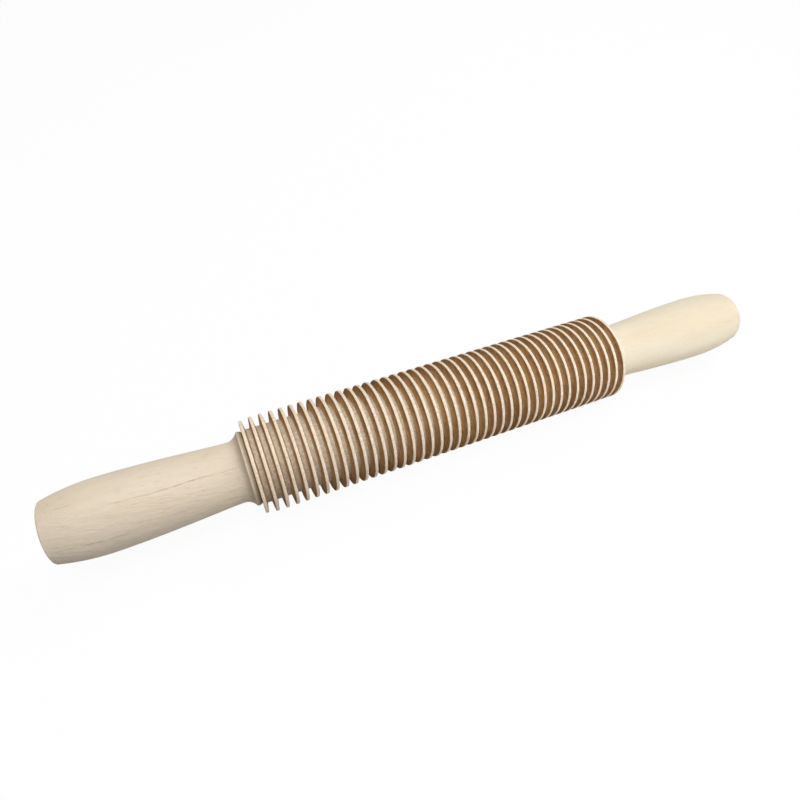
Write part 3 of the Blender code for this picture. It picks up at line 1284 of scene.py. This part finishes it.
@dataclass
class Axle:
    """The steel rod, its washers and its nuts."""

    lathe: Lathe
    gaps: Clearances
    roller_half: float
    rod_sides: int = 32
    rod_radius: float = 0.0040
    shoulder_ease: float = 0.0003
    thread_radius: float = 0.0030
    thread_pitch: float = 0.0010
    thread_depth: float = 0.00058
    rows_per_pitch: int = 6
    rod_end: float = 0.1460
    rod_chamfer: float = 0.0005
    thrust_radius: float = 0.0095
    thrust_thickness: float = 0.0015
    nut_washer_start: float = 0.1375
    nut_washer_radius: float = 0.0070
    nut_washer_thickness: float = 0.0012
    washer_ease: float = 0.0002
    nut_start: float = 0.1390
    nut_height: float = 0.0050
    nut_flats: float = 0.0100
    nut_chamfer: float = 0.0006
    nut_chamfer_rows: int = 5
    nut_edge_degrees: float = 28.0
    hole: float = 0.0033
    hole_chamfer: float = 0.0004

    def build(self, rod_steel: MetalFinish, zinc: MetalFinish) -> None:
        """Build and dress the rod, the washers and the nuts.

        Args:
            rod_steel: The rod's steel.
            zinc: The plating of washers and nuts.
        """
        steel, plating = rod_steel.material(), zinc.material()
        thread = Thread(self.thread_depth, self.thread_pitch, self.roller_half + self.gaps.fit)
        rod = Turned("threaded_rod", self._rod_outline(), Body.HANDLES, "axle_rod", "rod_steel",
                     sides=self.rod_sides, thread=thread)
        rod.make(self.lathe, steel, steel)
        thrust = (self.roller_half + self.gaps.fit, self.thrust_radius, self.thrust_thickness)
        under_nut = (self.nut_washer_start, self.nut_washer_radius, self.nut_washer_thickness)
        for side in Side:
            for name, sizes in (("thrust_washer", thrust), ("nut_washer", under_nut)):
                washer = Turned(f"{side.word}_flat_{name}", on_side(self._washer_outline(*sizes), side),
                                Body.HANDLES, f"{side.word}_{name}", "washer_steel")
                washer.make(self.lathe, plating, plating)
            nut = Turned(side.word + "_hexagon_nut", on_side(self._nut_outline(), side), Body.HANDLES,
                         side.word + "_nut", "nut_steel", across_flats=self.nut_flats,
                         edge_degrees=self.nut_edge_degrees)
            nut.make(self.lathe, plating, plating)

    def _rod_outline(self) -> list[Point]:
        """Draw the rod, with enough rows for its threads.

        Returns:
            The outline from pole to pole.
        """
        shoulder, ease = self.roller_half, self.shoulder_ease
        run = self.rod_end - self.rod_chamfer - shoulder
        rows = round(run / self.thread_pitch * self.rows_per_pitch)
        right_half = [
            (shoulder - ease, self.rod_radius),
            (shoulder, self.rod_radius - ease),
            *[(shoulder + run * row / rows, self.thread_radius) for row in range(rows + 1)],
            (self.rod_end, self.thread_radius - self.rod_chamfer),
            (self.rod_end, 0.0),
        ]
        return on_side(right_half, Side.LEFT) + right_half

    def _washer_outline(self, start: float, radius: float, thickness: float) -> list[Point]:
        """Draw a flat washer of the right-hand end.

        Args:
            start: Where it starts.
            radius: Its outer radius.
            thickness: Its thickness.

        Returns:
            The closed outline.
        """
        end = start + thickness
        corners = [(start, self.hole), (start, radius), (end, radius), (end, self.hole)]
        return eased(corners, self.washer_ease)

    def _nut_outline(self) -> list[Point]:
        """Draw the right-hand nut, whose flats the lathe cuts.

        Returns:
            The closed outline.
        """
        start, end = self.nut_start, self.nut_start + self.nut_height
        corner_radius = self.nut_flats / 2 / math.cos(math.pi / 6)
        face_radius = self.nut_flats / 2 - self.gaps.fit
        shares = [row / self.nut_chamfer_rows for row in range(self.nut_chamfer_rows + 1)]
        slope = [(self.nut_chamfer * share, face_radius + (corner_radius - face_radius) * share)
                 for share in shares]
        outside = [(start + step, radius) for step, radius in slope]
        outside += [(end - step, radius) for step, radius in reversed(slope)]
        bore = [
            (end, self.hole + self.hole_chamfer),
            (end - self.hole_chamfer, self.hole),
            (start + self.hole_chamfer, self.hole),
            (start, self.hole + self.hole_chamfer),
        ]
        return outside + bore + outside[:1]


def shown(name: str, data: bpy.types.ID, place: Place = (0.0, 0.0, 0.0),
          aim: Optional[Place] = None) -> bpy.types.Object:
    """Put a floor, a lamp or a camera in the scene.

    Args:
        name: Its name.
        data: Its mesh, light or camera.
        place: Where it stands.
        aim: What it faces, if it is aimed.

    Returns:
        The new object.
    """
    made = bpy.data.objects.new(name, data)
    made.location = place
    if aim:
        made.rotation_euler = (Vector(aim) - Vector(place)).to_track_quat("-Z", "Y").to_euler()
    bpy.context.scene.collection.objects.link(made)
    return made


@dataclass(frozen=True)
class SoftLamp:
    """One large soft lamp."""

    name: str
    place: Place
    size: float
    power: float
    aim: Place = (0.0, 0.0, 0.0)

    def build(self) -> None:
        """Hang the lamp."""
        data = bpy.data.lights.new(self.name, "AREA")
        data.shape = "DISK"
        data.size = self.size
        data.energy = self.power
        shown(self.name, data, self.place, self.aim)


@dataclass
class Studio:
    """The pale floor, the soft light and the camera."""

    floor_height: float = -0.0201
    floor_reach: float = 3.0
    floor_bounce: Colour = (0.25, 0.25, 0.25)
    floor_seen: Colour = (0.95, 0.95, 0.95)
    floor_glow: float = 0.95
    fill: float = 0.175
    lamps: tuple[SoftLamp, ...] = (
        SoftLamp("ceiling_lamp", (0.0, -0.25, 1.28), 0.7, 9.0),
        SoftLamp("back_right_lamp", (0.73, 0.54, 0.93), 0.5, 4.6),
        SoftLamp("back_lamp", (0.27, 1.04, 0.73), 0.5, 0.8),
        SoftLamp("left_lamp", (-0.46, -0.69, 0.98), 0.5, 0.5),
        SoftLamp("camera_lamp", (-0.05, -0.42, 0.48), 0.25, 0.5),
        SoftLamp("low_right_lamp", (0.22, -0.24, 0.03), 0.15, 0.2, aim=(0.08, 0.0, 0.0)),
        SoftLamp("low_front_lamp", (0.12, -0.30, 0.02), 0.20, 0.27, aim=(0.05, 0.0, 0.0)),
    )
    camera_place: Place = (-0.0859535, -0.1566343, 0.1940031)
    camera_aim: Place = (-0.0164726, 0.0062639, 0.0054105)
    lens: float = 26.573
    sensor_width: float = 36.0
    nearest: float = 0.01

    def build(self) -> None:
        """Set up everything that isn't the pin."""
        self._floor()
        self._surroundings()
        self._camera()
        for lamp in self.lamps:
            lamp.build()
        bpy.context.scene.view_settings.view_transform = "Standard"
        log.info("studio: floor, %d lamps and camera", len(self.lamps))

    def _background_rays(self, wiring: Wiring) -> Socket:
        """Tell rays that see the background straight, in a reflection or through something.

        Args:
            wiring: The nodes to add to.

        Returns:
            1 for such rays and 0 for others.
        """
        path = wiring.node("ShaderNodeLightPath").outputs
        seen = wiring.math("MAXIMUM", path["Is Camera Ray"], path["Is Glossy Ray"])
        return wiring.math("MAXIMUM", seen, path["Is Transmission Ray"])

    def _floor(self) -> None:
        """Lay the floor, white to the camera but for the pin's faint shadow."""
        reach = self.floor_reach
        mesh = bpy.data.meshes.new("floor")
        corners = [(-reach, -reach), (reach, -reach), (reach, reach), (-reach, reach)]
        mesh.from_pydata([(x, y, self.floor_height) for x, y in corners], [], [(0, 1, 2, 3)])
        finish = bpy.data.materials.new("pale_floor")
        finish.use_nodes = True
        wiring = Wiring(finish.node_tree)
        seen = self._background_rays(wiring)
        colour = wiring.mixed(seen, self.floor_bounce, self.floor_seen)
        matt = wiring.node("ShaderNodeBsdfDiffuse", {"Color": colour}).outputs[0]
        white = wiring.node("ShaderNodeEmission", {"Color": WHITE, "Strength": 1.0}).outputs[0]
        share = wiring.product(seen, self.floor_glow)
        both = wiring.node("ShaderNodeMixShader", {0: share, 1: matt, 2: white}).outputs[0]
        wiring.node("ShaderNodeOutputMaterial", {"Surface": both})
        mesh.materials.append(finish)
        shown("floor", mesh)

    def _surroundings(self) -> None:
        """Surround the scene with even light that looks white to the camera."""
        world = bpy.data.worlds.new("soft_room")
        world.use_nodes = True
        wiring = Wiring(world.node_tree)
        light = wiring.node("ShaderNodeBackground", {"Color": WHITE, "Strength": self.fill}).outputs[0]
        white = wiring.node("ShaderNodeBackground", {"Color": WHITE, "Strength": 1.0}).outputs[0]
        feeds = {0: self._background_rays(wiring), 1: light, 2: white}
        both = wiring.node("ShaderNodeMixShader", feeds).outputs[0]
        wiring.node("ShaderNodeOutputWorld", {"Surface": both})
        bpy.context.scene.world = world

    def _camera(self) -> None:
        """Place the camera that sees the pin as the photograph does."""
        data = bpy.data.cameras.new("camera")
        data.lens = self.lens
        data.sensor_width = self.sensor_width
        data.clip_start = self.nearest
        bpy.context.scene.camera = shown("camera", data, self.camera_place, self.camera_aim)


def roller_beech() -> BeechFinish:
    """The roller's beech: cream rims and floors, brown disc sides.

    Returns:
        The finish.
    """
    # The tint at the disc sides' roots below is painted light deep in the grooves.
    return BeechFinish("roller_beech", pale=seen_colour(243, 226, 203), warm=seen_colour(237, 216, 190),
                       fleck=seen_colour(160, 122, 86), end_pale=seen_colour(185, 149, 106),
                       end_brown=seen_colour(148, 110, 72), fleck_share=0.22, fleck_strength=0.5,
                       fibre_strength=0.1, fuzz_strength=0.2, torn_strength=0.25, torn_radius=0.0160,
                       groove_floor_tint=(0.70, 0.71, 0.72), painted_root_light=(1.35, 1.58, 1.85), seed=2.0)


def left_handle_beech() -> BeechFinish:
    """The left-hand handle's beech, greyer, with wavy streaks and a few clear grain lines.

    Returns:
        The finish.
    """
    lines = (
        GrainLine(-0.0860, 122.6, -0.1060, 119.4, 0.00030, 0.30),
        GrainLine(-0.0980, 119.6, -0.1240, 120.6, 0.00036, 0.60),
        GrainLine(-0.1160, 120.6, -0.1440, 115.8, 0.00030, 0.30),
        GrainLine(-0.1465, 100.5, -0.1565, 97.0, 0.00030, 0.35),
        GrainLine(-0.1080, 165.0, -0.1210, 160.8, 0.00032, 0.30),
        GrainLine(-0.1180, 161.8, -0.1330, 152.5, 0.00032, 0.32),
        GrainLine(-0.1300, 169.8, -0.1510, 162.3, 0.00034, 0.38),
    )
    # The tint at the seam below is painted shade on the land next to the roller.
    return BeechFinish("left_beech", pale=seen_colour(231, 216, 195), warm=seen_colour(225, 208, 183),
                       fleck=seen_colour(160, 132, 100), end_pale=seen_colour(230, 207, 172),
                       end_brown=seen_colour(200, 168, 128), fleck_share=0.16, fleck_strength=0.3,
                       relief=0.00018, wave_relief=0.00036, cut_tint=(0.66, 0.62, 0.53),
                       painted_seam_shade=(0.64, 0.58, 0.51), lines=lines, seed=3.0)


def right_handle_beech() -> BeechFinish:
    """The right-hand handle's beech, creamy and nearly without flecks.

    Returns:
        The finish.
    """
    lines = (GrainLine(0.0990, 114.5, 0.1110, 108.6, 0.00030, 0.22),)
    # The tint at the seam below is painted shade on the land next to the roller.
    return BeechFinish("right_beech", pale=seen_colour(233, 222, 199), warm=seen_colour(229, 214, 187),
                       fleck=seen_colour(190, 158, 118), end_pale=seen_colour(230, 206, 168),
                       end_brown=seen_colour(200, 166, 124), fleck_share=0.08, fleck_strength=0.2,
                       ring_strength=0.01, wave_relief=0.00018, cut_tint=(0.66, 0.62, 0.53),
                       painted_seam_shade=(0.64, 0.58, 0.51), lines=lines, seed=4.0)


def plug_beech() -> BeechFinish:
    """The end plugs' beech, a little darker than the handles.

    Returns:
        The finish.
    """
    return BeechFinish("plug_beech", pale=seen_colour(226, 204, 168), warm=seen_colour(212, 186, 148),
                       fleck=seen_colour(150, 116, 80), end_pale=seen_colour(214, 182, 140),
                       end_brown=seen_colour(180, 144, 104), seed=6.0)


def main() -> None:
    """Build the pin's pieces and the studio in order."""
    logging.basicConfig(level=logging.INFO, format="%(name)s %(message)s")
    gaps = Clearances()
    lathe = Lathe()
    nylon = NylonFinish("natural_nylon", seen_colour(238, 236, 228), seen_colour(230, 226, 214))
    roller = Roller(lathe, gaps)
    roller.build(roller_beech(), nylon)
    handles = Handles(lathe, gaps, roller.half)
    handles.build({Side.LEFT: left_handle_beech(), Side.RIGHT: right_handle_beech()}, plug_beech())
    drawn = MetalFinish("drawn_steel", (0.56, 0.56, 0.57), 0.30, streaks=(120.0, 5200.0), mottle=0.06)
    zinc = MetalFinish("zinc_plated_steel", (0.62, 0.63, 0.65), 0.34, streaks=(900.0, 900.0), mottle=0.14,
                       seed=3.0)
    Axle(lathe, gaps, roller.half).build(drawn, zinc)
    Studio().build()


if __name__ == "__main__":
    main()
